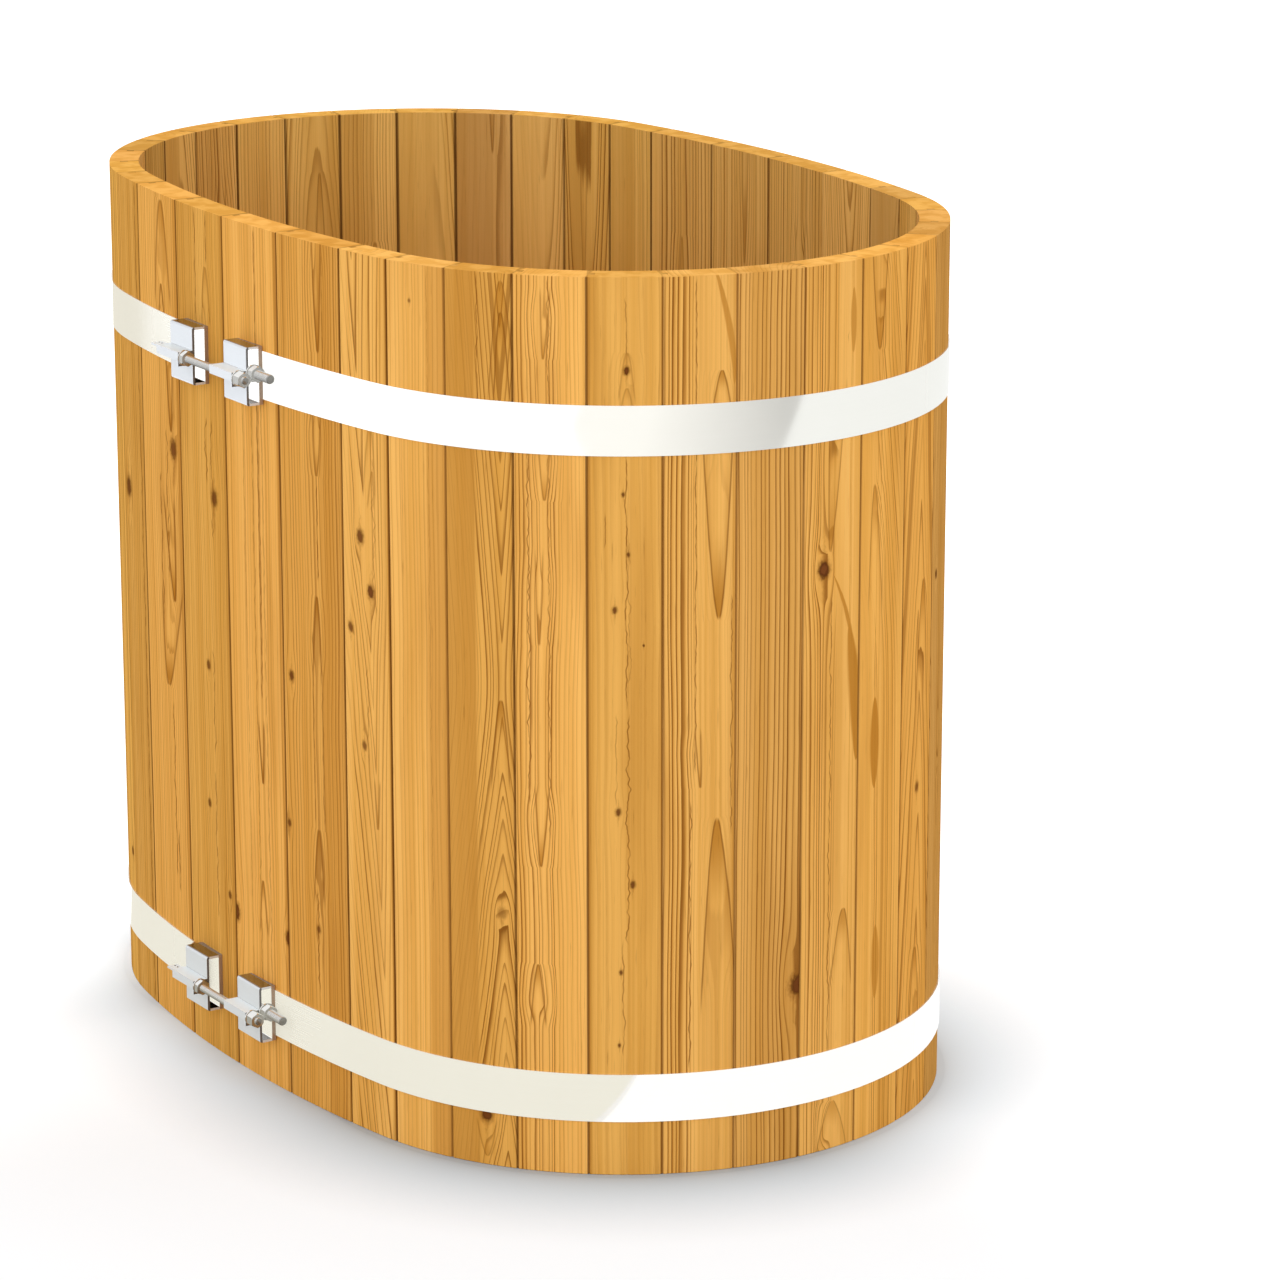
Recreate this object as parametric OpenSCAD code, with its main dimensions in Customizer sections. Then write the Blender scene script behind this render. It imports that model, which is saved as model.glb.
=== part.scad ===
// Oval coopered hot tub: upright staves round a four-arc oval, two steel hoops with screw clamps,
// a floor held in a groove in the staves, a seat and a drain through the wall.
// X runs along the tub, Y across it and Z up. The origin is on the ground below the middle.

/* [Tub] */
// Length over the staves
tub_length = 1316; // [1200:2:1500]
// Width over the staves
tub_width = 843; // [750:1:960]
// Height of the staves
tub_height = 1100; // [900:10:1300]
// How far the long sides bow out past the width of the round ends, at each side
side_bow = 21.5; // [14:0.5:40]
// Thickness of the staves
wall = 38; // [32:1:44]

/* [Staves] */
// Width of a stave of the long sides
side_stave_width = 133; // [118:1:140]
// Thickness of the tongue along a stave's edge
tongue_thickness = 9; // [6:0.5:12]
// Depth of the tongue
tongue_depth = 7; // [4:0.5:9]
// Bevel along the long edges of a stave, outside and inside
stave_arris = 2; // [0.6:0.2:3]

/* [Floor] */
// Height of the floor's underside above the ground
floor_height = 80; // [70:1:110]
// Thickness of the floor boards
floor_thickness = 36; // [28:1:44]
// Thickness of the tongue between two floor boards
floor_tongue = 10; // [6:0.5:12]
// Depth of the groove in the staves that holds the floor
croze_depth = 10; // [6:1:14]
// Width of a bearer under the floor
bearer_width = 70; // [45:5:90]
// Distance between the bearers
bearer_spacing = 300; // [220:10:320]

/* [Hoops] */
// Height of the hoop band
hoop_height = 60; // [40:2:70]
// Thickness of the hoop band
hoop_thickness = 2; // [1.5:0.5:3]
// Distance from the upper hoop's middle down from the rim
upper_hoop_drop = 181; // [150:1:300]

/* [Clamps] */
// Gap between the two lugs
lug_gap = 84; // [70:2:110]
// Length of a lug along the hoop
lug_length = 59; // [50:1:70]
// Height of a lug
lug_height = 73; // [66:1:80]
// Distance of a lug's face from the wood
lug_depth = 22; // [20:0.5:26]
// Sheet thickness of a lug
lug_sheet = 3; // [2:0.5:3.5]
// Depth of the shelf in front of a lug's face
shelf_depth = 20; // [18:0.5:24]
// Sheet thickness of the shelf and its lip
shelf_sheet = 2.5; // [1.5:0.5:3]
// Height of the lip that hangs from the shelf
lip_height = 11; // [8:0.5:13]
// How far the left shelf runs past its lug
shelf_tail = 14; // [8:1:20]
// Diameter of the two holes in the left shelf's tail
tail_hole = 4; // [2:0.5:5]
// Sideways length over which the hoop lifts from the wood to the left lug
ramp_length = 25; // [15:1:35]
// Diameter of the draw bolt
draw_bolt_size = 10; // [8:0.5:11]
// Width across the flats of the draw bolt's nuts
draw_nut_flats = 17; // [15:0.5:18]
// Length of the draw nut
draw_nut_length = 14; // [8:1:18]
// Length of the lock nut
lock_nut_length = 8; // [6:1:10]
// Diameter of the stud at the open end of the right lug
stud_size = 12; // [8:1:12]
// Width across the flats of the stud's nut
stud_nut_flats = 18; // [16:0.5:18.5]
// Length of the stud's nut
stud_nut_length = 10; // [8:1:12]
// Length of the stud beyond its nut
stud_tail = 32; // [10:1:40]
// Height of the stud above the draw bolt
stud_rise = 4; // [3:0.5:8]
// Thickness of the washers
washer_thickness = 2; // [1:0.5:3]

/* [Drain] */
// Diameter of the drain's bore
drain_bore = 25; // [18:1:28]
// Wall of the drain's tube
drain_wall = 4; // [3:0.5:5]
// Clearance of the drain's nut above the hoop and of its flange above the floor
drain_clearance = 4; // [2:1:30]
// Length of the drain's tube outside the wood
drain_tail = 44; // [38:1:70]
// Outside diameter of the spout that a hose slides over
spout_size = 30; // [27:0.5:31]
// Length of the spout
spout_length = 24; // [18:1:30]
// Diameter of the drain's flange inside the tub
drain_flange = 56; // [50:1:60]
// Thickness of the drain's flange
drain_flange_thickness = 4; // [3:0.5:6]
// Thickness of the rubber gasket
gasket_thickness = 2; // [1:0.5:4]
// Width across the flats of the drain's lock nut
drain_nut_flats = 42; // [41:1:54]
// Length of the drain's lock nut
drain_nut_length = 9; // [6:1:14]
// Length of the plug inside the bore
plug_length = 26; // [16:1:40]

/* [Seat] */
// Height of the seat's top above the floor
seat_rise = 430; // [300:10:520]
// Width of a seat board
seat_board_width = 100; // [80:5:120]
// Thickness of a seat board
seat_board_thickness = 28; // [20:1:36]
// Gap between seat boards
seat_board_gap = 8; // [4:1:15]
// Distance of the first seat board from the end of the tub
seat_setback = 20; // [10:5:120]
// Width of the ledge that carries the seat
seat_ledge_width = 30; // [20:1:40]
// Height of the ledge
seat_ledge_height = 50; // [30:2:80]

/* [Hidden] */
$fn = 96;
// Counts of staves in a quarter of the oval: narrow ones round the end, wide ones on the side
end_staves = 7;
side_staves = 2;
quarter_staves = end_staves + side_staves;
stave_count = 4 * quarter_staves;
floor_board_count = 6;
seat_board_count = 4;
bearer_count = 3;

// Clearances between pieces that touch, that slide or turn, and that pass through
touch = 0.1;
running = 0.05;
loose = 0.5;
// Overshoot of a cut past the face it opens
over = 5;
// Bevel on the corners of nuts and the ends of bolts
nut_bevel = 1;

// Four-arc oval: end arcs about (+-end_centre, 0), side arcs about (0, -+side_centre)
end_radius = tub_width / 2 - side_bow;
end_centre = tub_length / 2 - end_radius;
side_centre = (end_centre * end_centre - side_bow * side_bow) / (2 * side_bow);
side_radius = tub_width / 2 + side_centre;
// Angle of the wall's normal, from X, at which an end arc meets a side arc
join_angle = atan2(side_centre, end_centre);
end_arc = end_radius * join_angle * PI / 180;
side_arc = side_radius * (90 - join_angle) * PI / 180;
end_stave_width = (end_arc + side_arc - side_staves * side_stave_width) / end_staves;

floor_top = floor_height + floor_thickness;
floor_board_width = (tub_width - 2 * (wall - croze_depth)) / floor_board_count;
upper_hoop_level = tub_height - upper_hoop_drop;
// The lower hoop presses the staves onto the edge of the floor
lower_hoop_level = floor_height + floor_thickness / 2;

// Clamp, seen along the wall: x along the hoop, y out from the wood, z up from the hoop's middle
lug_inner = lug_gap / 2;
lug_outer = lug_inner + lug_length;
lip_face = lug_depth + shelf_depth;
ramp_start = lug_outer + ramp_length;
ramp_top = lug_depth - (lug_sheet - hoop_thickness) / 2;
// Gaps between the draw bolt and the shelf above it and the lip in front of it
bolt_to_shelf = 0.3;
bolt_to_lip = 1.5;
shelf_under = draw_bolt_size / 2 + bolt_to_shelf;
shelf_top = shelf_under + shelf_sheet;
draw_bolt_y = lip_face - shelf_sheet - draw_bolt_size / 2 - bolt_to_lip;
// The hollow inside a lug's tube, in front of the hoop
tube_depth = lug_depth - 2 * lug_sheet - hoop_thickness;
tube_height = lug_height - 2 * lug_sheet;
tube_y = (lug_depth + hoop_thickness) / 2;
tube_corner = 1;
// Depth to which one piece of a lug is joined into the next
weld = 1;
// The two holes in the left shelf's tail: distance from its end and its front, and to each other
tail_hole_inset = 4;
tail_hole_setback = 10;
tail_hole_step = 7;
end_plate = 4;
bolt_head = 10;
draw_bolt_tail = 3;
stud_y = tube_y;
stud_plate = 5;
stud_grip = lug_length * 0.7;
draw_washer = 20;
stud_washer = 22;

// Drain and plug on the stave beside the middle of the far long side, seen along its normal
drain_angle = 90 - side_stave_width / 2 / side_radius * 180 / PI;
drain_radius = drain_bore / 2 + drain_wall;
drain_level = drain_clearance + max(floor_top + drain_flange / 2,
    lower_hoop_level + hoop_height / 2 + drain_nut_flats / sqrt(3));
// Gap between the gasket and the curved wall behind it
gasket_gap = 0.3;
flange_back = -wall - gasket_thickness - gasket_gap;
flange_front = flange_back - drain_flange_thickness;
plug_head = 5;
plug_lip = 3;
plug_neck = 4;
plug_neck_size = 6;
pull_ring = 12;
pull_ring_wire = 2.5;

seat_top = floor_top + seat_rise;
seat_step = seat_board_width + seat_board_gap;
seat_start = -tub_length / 2 + wall + seat_setback;
seat_clearance = 4;
bearer_clearance = 2;
// Half of the gap between the two ledges at the end of the tub
ledge_gap = 60;

function stave_name(i) = str("stave_", i < 10 ? "0" : "", i);

// Outline

// The oval, grown outwards by a distance: the end discs, and the side arcs between their joins
module oval(grow) {
    for (side = [-1, 1]) translate([side * end_centre, 0]) circle(end_radius + grow, $fn = 180);
    intersection() {
        translate([0, -side_centre]) circle(side_radius + grow, $fn = 720);
        translate([0, side_centre]) circle(side_radius + grow, $fn = 720);
        square([2 * (end_centre + (end_radius + grow) * cos(join_angle)), 2 * tub_width], center = true);
    }
}

// Angle of the wall's normal at seam j of a quarter, counted from the end towards the side
function quarter_angle(j) =
    j > end_staves ? 90 - (quarter_staves - j) * side_stave_width / side_radius * 180 / PI :
    j * end_stave_width < end_arc ? j * end_stave_width / end_radius * 180 / PI :
    join_angle + (j * end_stave_width - end_arc) / side_radius * 180 / PI;

// Angle of the wall's normal at seam i, counted round the whole tub from its +X end
function seam_angle(i) =
    let (quarter = floor(i / quarter_staves), j = i % quarter_staves)
    quarter % 2 == 0 ? 90 * quarter + quarter_angle(j) :
    90 * (quarter + 1) - quarter_angle(quarter_staves - j);

// Is this normal on an end arc, and of which arc is it
function on_end(a) = abs(cos(a)) > cos(join_angle);
function arc_centre(a) = on_end(a) ? [sign(cos(a)) * end_centre, 0] : [0, -sign(sin(a)) * side_centre];
function arc_radius(a) = on_end(a) ? end_radius : side_radius;
function wall_point(a, grow) = arc_centre(a) + (arc_radius(a) + grow) * [cos(a), sin(a)];

// Moves children to the outside of the wall where its normal has this angle, with x outwards
module on_wall(a) translate(wall_point(a, 0)) rotate(a) children();

// Staves

// A strip across the seam, as deep and wide as given, centred on the stave's thickness
module tongue(depth, thickness)
    translate([-wall / 2 - thickness / 2, 0]) square([thickness, depth]);

// Bevel on an edge of a stave that lies to one side of a seam, outside or inside, cut well past both faces
module arris(along, out) {
    past = 2;
    far = stave_arris + past;
    polygon([[-out * far, -along * past], [out * past, along * far], [out * past, -along * past]]);
}

module stave_outline(a, b) {
    difference() {
        union() {
            intersection() {
                difference() {
                    oval(0);
                    oval(-wall);
                }
                polygon([wall_point(a, over), wall_point(b, over),
                         wall_point(b, -wall - over), wall_point(a, -wall - over)]);
            }
            on_wall(b) translate([0, -1]) tongue(tongue_depth + 1, tongue_thickness);
        }
        on_wall(a) translate([0, -1]) tongue(tongue_depth + 1 + loose, tongue_thickness + loose);
        for (out = [1, -1]) {
            inset = out < 0 ? wall : 0;
            on_wall(a) translate([-inset, 0]) arris(1, out);
            on_wall(b) translate([-inset, 0]) arris(-1, out);
        }
    }
}

module stave(i) {
    a = seam_angle(i - 1);
    b = seam_angle(i);
    color(i % 3 == 0 ? "#d69a4a" : i % 3 == 1 ? "#e0a95a" : "#cf9143")
    difference() {
        linear_extrude(tub_height) stave_outline(a, b);
        translate([0, 0, floor_height - touch]) linear_extrude(floor_thickness + 2 * touch)
            oval(croze_depth - wall);
        if (a < drain_angle && drain_angle < b) drain_axis()
            drain_cylinder(drain_radius + loose, -wall - over, over);
    }
}

// Floor

// Section of floor board k across the tub, with a groove on one edge and a tongue on the other
module floor_section(k) {
    start = (k - floor_board_count / 2) * floor_board_width + touch;
    width = floor_board_width - 2 * touch;
    middle = floor_height + floor_thickness / 2;
    difference() {
        union() {
            translate([start, floor_height]) square([width, floor_thickness]);
            if (k < floor_board_count - 1) translate([start + width - 1, middle - floor_tongue / 2])
                square([tongue_depth + 1, floor_tongue]);
        }
        if (k > 0) translate([start - 1, middle - (floor_tongue + loose) / 2])
            square([tongue_depth + 1 + loose, floor_tongue + loose]);
    }
}

module floor_boards() color("#c98f45") for (k = [0:floor_board_count - 1]) intersection() {
    translate([0, 0, floor_height - 1]) linear_extrude(floor_thickness + 2) oval(croze_depth - wall - loose);
    along_x(-tub_length / 2, tub_length / 2) floor_section(k);
}

module floor_bearer(k) color("#b57f3c") linear_extrude(floor_height) intersection() {
    oval(-wall - bearer_clearance);
    translate([(k - (bearer_count + 1) / 2) * bearer_spacing, 0])
        square([bearer_width, tub_width], center = true);
}

// Hoops and clamps

// Moves children to the middle of the near long side at a hoop's level, with y out from the wood
module at_clamp(level) translate([0, -tub_width / 2, level]) mirror([0, 1, 0]) children();

// Place of the wall's outer face, grown by a distance, at a distance along the side from its middle
function wall_place(x, grow) = sqrt(pow(side_radius + grow, 2) - x * x) - side_radius;

// The space under the straight line along which the hoop lifts from the wood to the left lug
module under_ramp(grow, top) {
    foot = wall_place(ramp_start, grow);
    heel = 2;
    slope = (top - foot) / ramp_length;
    polygon([[-ramp_start - heel, foot - heel * slope], [-lug_outer, top],
             [-lug_outer, -2 * over], [-ramp_start - heel, -2 * over]]);
}

// A band round the wood, open between the lugs, that lifts to the front of the left lug
module hoop(level) color("#e8e8e6")
    translate([0, 0, level - hoop_height / 2]) linear_extrude(hoop_height) difference() {
        union() {
            difference() {
                oval(touch + hoop_thickness);
                at_clamp(0) translate([1 - ramp_start, -2 * over])
                    square([ramp_start - 1 + lug_inner, 4 * over]);
            }
            at_clamp(0) under_ramp(touch + hoop_thickness, ramp_top);
        }
        oval(touch);
        at_clamp(0) under_ramp(touch, ramp_top - hoop_thickness);
    }

// A cylinder along x, between two positions
module bar_x(size, from, to) translate([from, 0, 0]) rotate([0, 90, 0]) cylinder(d = size, h = to - from);

// A rectangle with round corners, centred
module rounded(width, height, radius) {
    square([width - 2 * radius, height], center = true);
    square([width, height - 2 * radius], center = true);
    for (x = [-1, 1], y = [-1, 1])
        translate([x * (width / 2 - radius), y * (height / 2 - radius)]) circle(radius, $fn = 48);
}

// Turns an outline drawn in (y, z) so that it runs along x
module along_x(from, to) translate([from, 0, 0]) rotate([90, 0, 90]) linear_extrude(to - from) children();

// A lug without its shelf's tail: tube, shelf, lip and the end plate that the bolt passes
module lug_body(level, from, plate_from, seat) {
    to = from + lug_length;
    tube = lug_depth + over;
    difference() {
        at_clamp(level) {
            along_x(from, to) translate([lug_depth - tube / 2, 0]) rounded(tube, lug_height, lug_sheet);
            along_x(from, to) translate([lug_depth - weld, shelf_under])
                square([shelf_depth + weld, shelf_sheet]);
            along_x(from, to) translate([lip_face - shelf_sheet, shelf_top - lip_height])
                square([shelf_sheet, lip_height]);
            along_x(plate_from, plate_from + end_plate) translate([lug_depth - weld, -bolt_head])
                square([shelf_depth + weld, bolt_head + shelf_top]);
        }
        at_clamp(level) {
            along_x(from - 1, to + 1) translate([tube_y, 0]) rounded(tube_depth, tube_height, tube_corner);
            translate([0, draw_bolt_y, 0])
                bar_x(draw_bolt_size + 2 * loose, plate_from - 1, plate_from + end_plate + 1);
        }
        translate([0, 0, level - lug_height]) linear_extrude(2 * lug_height) oval(seat);
    }
}

module left_lug(level) color("#dfe1e4") {
    lug_body(level, -lug_outer, -lug_inner - end_plate, touch);
    at_clamp(level) difference() {
        translate([-lug_outer - shelf_tail, lug_depth + over, shelf_under])
            cube([shelf_tail, shelf_depth - over, shelf_sheet]);
        for (k = [0, 1])
            translate([-lug_outer - shelf_tail + tail_hole_inset + k * tail_hole_step,
                       lip_face - tail_hole_setback, shelf_under - 1])
                cylinder(d = tail_hole, h = shelf_sheet + 2);
    }
}

// The right lug also has a cross plate inside that holds the stud
module right_lug(level) color("#dfe1e4") {
    lug_body(level, lug_inner, lug_outer - end_plate, touch + hoop_thickness + touch);
    at_clamp(level) difference() {
        along_x(lug_outer - stud_grip, lug_outer - stud_grip + stud_plate) translate([tube_y, 0])
            square([tube_depth + weld, tube_height + weld], center = true);
        translate([0, stud_y, stud_rise]) bar_x(stud_size + 2 * running, 0, lug_outer);
    }
}

// Shank with a bevelled tip at its far end
module shank(size, from, to) translate([from, 0, 0]) rotate([0, 90, 0]) rotate_extrude()
    polygon([[0, 0], [size / 2, 0], [size / 2, to - from - nut_bevel],
             [size / 2 - nut_bevel, to - from], [0, to - from]]);

// Hexagon nut along x with bevelled corners, and its bore
module nut(flats, size, from, to) {
    corner = flats / sqrt(3);
    high = to - from;
    translate([from, 0, 0]) rotate([0, 90, 0]) difference() {
        intersection() {
            cylinder(r = corner, h = high, $fn = 6);
            rotate_extrude() polygon([[0, 0], [corner - nut_bevel, 0], [corner, nut_bevel],
                                      [corner, high - nut_bevel], [corner - nut_bevel, high], [0, high]]);
        }
        translate([0, 0, -1]) cylinder(d = size + 2 * running, h = high + 2);
    }
}

module washer(outer, size, from) difference() {
    bar_x(outer, from, from + washer_thickness);
    bar_x(size + 2 * running, from - 1, from + washer_thickness + 1);
}

nut_from = lug_outer + washer_thickness;
lock_from = -lug_inner + washer_thickness;

module draw_bolt(level) color("#c9cbce") at_clamp(level) translate([0, draw_bolt_y, 0]) {
    shank(draw_bolt_size, -lug_inner - end_plate, nut_from + draw_nut_length + draw_bolt_tail);
    translate([-lug_inner - end_plate - bolt_head / 2, 0, 0])
        cube([bolt_head, draw_bolt_size + 2, bolt_head], center = true);
}

module draw_nut(level) color("#b9bbbe") at_clamp(level) translate([0, draw_bolt_y, 0])
    nut(draw_nut_flats, draw_bolt_size, nut_from + touch, nut_from + draw_nut_length);

module both_levels() for (level = [upper_hoop_level, lower_hoop_level]) at_clamp(level) children();

module lock_nuts() color("#8d8f92") both_levels() translate([0, draw_bolt_y, 0])
    nut(draw_nut_flats, draw_bolt_size, lock_from, lock_from + lock_nut_length);

module washers() color("#c4c6c9") both_levels() {
    translate([0, draw_bolt_y, 0]) {
        washer(draw_washer, draw_bolt_size, lug_outer);
        washer(draw_washer, draw_bolt_size, -lug_inner);
    }
    translate([0, stud_y, stud_rise]) washer(stud_washer, stud_size, lug_outer);
}

module lug_studs() color("#c9cbce") both_levels() translate([0, stud_y, stud_rise])
    shank(stud_size, lug_outer - stud_grip, nut_from + stud_nut_length + stud_tail);

module stud_nuts() color("#b9bbbe") both_levels() translate([0, stud_y, stud_rise])
    nut(stud_nut_flats, stud_size, nut_from, nut_from + stud_nut_length);

// Drain

module drain_axis() translate([0, 0, drain_level]) on_wall(drain_angle) children();

// A cylinder along the drain's axis, x outwards from the wood's outer face
module drain_cylinder(radius, from, to)
    translate([from, 0, 0]) rotate([0, 90, 0]) cylinder(r = radius, h = to - from);

module drain_body() color("#b9bbbe") drain_axis() difference() {
    union() {
        drain_cylinder(drain_radius, flange_front, drain_tail - spout_length);
        drain_cylinder(spout_size / 2, flange_front, drain_tail);
        drain_cylinder(drain_flange / 2, flange_front, flange_back);
    }
    drain_cylinder(drain_bore / 2, flange_front - 1, drain_tail + 1);
}

module drain_gasket() color("#2b2b2b") drain_axis() difference() {
    drain_cylinder(drain_flange / 2, flange_back, -wall - gasket_gap);
    drain_cylinder(drain_radius + touch, flange_back - 1, -wall + 1);
}

module drain_lock_nut() color("#a9abae") drain_axis()
    nut(drain_nut_flats, 2 * drain_radius, touch, touch + drain_nut_length);

module drain_plug() color("#232323") drain_axis() {
    head_front = flange_front - touch - plug_head;
    ring_centre = head_front - plug_neck - pull_ring + pull_ring_wire;
    drain_cylinder(drain_bore / 2 - running, head_front, flange_front + plug_length);
    drain_cylinder(drain_bore / 2 + plug_lip, head_front, flange_front - touch);
    drain_cylinder(plug_neck_size / 2, head_front - plug_neck, head_front + touch);
    translate([ring_centre, 0, 0]) rotate([90, 0, 0]) rotate_extrude()
        translate([pull_ring - pull_ring_wire / 2, 0]) circle(d = pull_ring_wire, $fn = 32);
}

// Seat

module seat_boards() color("#d9a355") for (k = [0:seat_board_count - 1])
    translate([0, 0, seat_top - seat_board_thickness]) linear_extrude(seat_board_thickness) intersection() {
        oval(-wall - seat_clearance);
        translate([seat_start + k * seat_step, -tub_width / 2])
            square([seat_board_width, tub_width]);
    }

module seat_ledges() color("#b57f3c") for (side = [-1, 1])
    translate([0, 0, seat_top - seat_board_thickness - seat_ledge_height]) linear_extrude(seat_ledge_height)
        intersection() {
            difference() {
                oval(-wall - touch);
                oval(-wall - seat_ledge_width);
            }
            translate([seat_start, side > 0 ? ledge_gap : -tub_width / 2])
                square([seat_board_count * seat_step, tub_width / 2 - ledge_gap]);
        }

for (i = [1:stave_count]) stave(i);
floor_boards();
for (k = [1:bearer_count]) floor_bearer(k);
hoop(upper_hoop_level);  // upper_hoop
hoop(lower_hoop_level);  // lower_hoop
left_lug(upper_hoop_level);  // upper_left_lug
right_lug(upper_hoop_level);  // upper_right_lug
left_lug(lower_hoop_level);  // lower_left_lug
right_lug(lower_hoop_level);  // lower_right_lug
draw_bolt(upper_hoop_level);  // upper_draw_bolt
draw_bolt(lower_hoop_level);  // lower_draw_bolt
draw_nut(upper_hoop_level);  // upper_draw_nut
draw_nut(lower_hoop_level);  // lower_draw_nut
lock_nuts();
washers();
lug_studs();
stud_nuts();
drain_body();
drain_gasket();
drain_lock_nut();
drain_plug();
seat_boards();
seat_ledges();
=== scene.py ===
import math
import random

import bpy
from mathutils import Matrix, Vector


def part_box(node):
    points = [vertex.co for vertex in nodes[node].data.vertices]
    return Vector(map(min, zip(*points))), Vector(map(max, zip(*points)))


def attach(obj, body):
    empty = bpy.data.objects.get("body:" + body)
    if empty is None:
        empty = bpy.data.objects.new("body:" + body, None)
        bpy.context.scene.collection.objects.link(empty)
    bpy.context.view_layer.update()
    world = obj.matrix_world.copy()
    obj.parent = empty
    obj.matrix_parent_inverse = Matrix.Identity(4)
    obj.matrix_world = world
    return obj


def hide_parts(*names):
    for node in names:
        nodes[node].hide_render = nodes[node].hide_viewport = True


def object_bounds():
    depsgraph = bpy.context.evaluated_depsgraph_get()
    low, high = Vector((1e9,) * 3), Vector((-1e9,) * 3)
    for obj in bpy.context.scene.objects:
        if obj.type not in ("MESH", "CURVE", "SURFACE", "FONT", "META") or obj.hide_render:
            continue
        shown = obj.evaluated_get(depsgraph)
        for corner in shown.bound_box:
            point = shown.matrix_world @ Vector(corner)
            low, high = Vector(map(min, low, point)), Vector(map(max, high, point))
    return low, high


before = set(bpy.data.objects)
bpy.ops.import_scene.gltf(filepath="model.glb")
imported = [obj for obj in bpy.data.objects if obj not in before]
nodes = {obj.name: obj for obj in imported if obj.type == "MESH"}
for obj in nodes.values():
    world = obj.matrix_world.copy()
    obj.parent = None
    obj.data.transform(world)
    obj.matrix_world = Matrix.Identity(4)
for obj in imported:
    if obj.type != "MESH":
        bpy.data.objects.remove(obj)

cad_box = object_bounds()


def srgb(red, green, blue):
    """A colour from 0-255 screen values, as Blender's linear one."""
    def linear(level):
        level /= 255
        return level / 12.92 if level <= 0.04045 else ((level + 0.055) / 1.055) ** 2.4
    return (linear(red), linear(green), linear(blue), 1.0)


WHITE = (1.0, 1.0, 1.0, 1.0)
BLACK = (0.0, 0.0, 0.0, 1.0)


# Materials, written as formulas

class Value:
    """A socket of a graph's nodes. Arithmetic on it adds a node."""

    def __init__(self, graph, socket):
        self.graph = graph
        self.socket = socket

    def __add__(self, other):
        return self.graph.math("ADD", self, other)

    def __radd__(self, other):
        return self.graph.math("ADD", other, self)

    def __sub__(self, other):
        return self.graph.math("SUBTRACT", self, other)

    def __rsub__(self, other):
        return self.graph.math("SUBTRACT", other, self)

    def __mul__(self, other):
        return self.graph.math("MULTIPLY", self, other)

    def __truediv__(self, other):
        return self.graph.math("DIVIDE", self, other)


class Graph:
    """The nodes of a new material, or of the tree that is given."""

    def __init__(self, name, tree=None):
        if tree is None:
            self.material = bpy.data.materials.new(name)
            self.material.use_nodes = True
            tree = self.material.node_tree
            self.shader = tree.nodes["Principled BSDF"]
        self.tree = tree

    def put(self, socket, value):
        """Links a value to an input, or sets the input to a number."""
        if isinstance(value, Value):
            self.tree.links.new(value.socket, socket)
        else:
            socket.default_value = value

    def node(self, kind, inputs, output=0, **settings):
        """Adds a node with these inputs and settings, and gives one of its outputs."""
        made = self.tree.nodes.new(kind)
        for name, value in settings.items():
            setattr(made, name, value)
        for key, value in inputs.items():
            self.put(made.inputs[key], value)
        return Value(self, made.outputs[output])

    def math(self, operation, *values):
        return self.node("ShaderNodeMath", dict(enumerate(values)), operation=operation)

    def place(self):
        """Where the point lies in the object's own axes."""
        return self.node("ShaderNodeTexCoord", {}, "Object")

    def normal(self):
        """Which way the surface faces in the object's own axes."""
        return self.node("ShaderNodeTexCoord", {}, "Normal")

    def vector(self, x, y, z):
        return self.node("ShaderNodeCombineXYZ", {0: x, 1: y, 2: z})

    def split(self, vector):
        made = self.tree.nodes.new("ShaderNodeSeparateXYZ")
        self.put(made.inputs[0], vector)
        return [Value(self, out) for out in made.outputs]

    def shift(self, vector, offset):
        return self.node("ShaderNodeVectorMath", {0: vector, 1: offset}, operation="SUBTRACT")

    def turn(self, vector, angle):
        inputs = {"Vector": vector, "Angle": angle}
        return self.node("ShaderNodeVectorRotate", inputs, rotation_type="Z_AXIS")

    def noise(self, vector, detail=2.0, roughness=0.5):
        return self.node("ShaderNodeTexNoise", {"Vector": vector, "Scale": 1.0, "Detail": detail,
                                                "Roughness": roughness}, "Fac")

    def wander(self, height, rate, seed):
        """A slow drift along a board, from about -0.5 to 0.5."""
        return self.node("ShaderNodeTexNoise", {"W": height * rate + seed, "Scale": 1.0, "Detail": 1.0},
                         "Fac", noise_dimensions="1D") - 0.5

    def dice(self, value):
        """A random number from 0 to 1 for each value."""
        return self.node("ShaderNodeTexWhiteNoise", {"W": value}, "Value", noise_dimensions="1D")

    def step(self, value, low, high):
        """Rises smoothly from 0 at low to 1 at high."""
        return self.node("ShaderNodeMapRange", {"Value": value, "From Min": low, "From Max": high},
                         interpolation_type="SMOOTHSTEP")

    def between(self, value, low, high, soft):
        """1 between two limits and 0 outside them, changing over this distance on both sides of each."""
        return self.step(value, low - soft, low + soft) * (1 - self.step(value, high - soft, high + soft))

    def span(self, value, low, high):
        """Runs evenly from 0 at low to 1 at high."""
        return self.node("ShaderNodeMapRange", {"Value": value, "From Min": low, "From Max": high})

    def tinted(self, color, tint):
        return self.node("ShaderNodeMix", {0: 1.0, 6: color, 7: tint}, 2, data_type="RGBA",
                         blend_type="MULTIPLY")

    def mix(self, share, first, second):
        return self.node("ShaderNodeMix", {0: share, 6: first, 7: second}, 2, data_type="RGBA")

    def bump(self, height, distance, strength):
        inputs = {"Height": height, "Distance": distance, "Strength": strength}
        return self.node("ShaderNodeBump", inputs, "Normal")

    def finish(self, color, roughness, normal=None, **fixed):
        """Sets the shader's inputs and gives the material; the fixed ones are named with _ for a space."""
        self.put(self.shader.inputs["Base Color"], color)
        self.put(self.shader.inputs["Roughness"], roughness)
        if normal is not None:
            self.put(self.shader.inputs["Normal"], normal)
        for name, value in fixed.items():
            self.shader.inputs[name.replace("_", " ")].default_value = value
        return self.material


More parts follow.
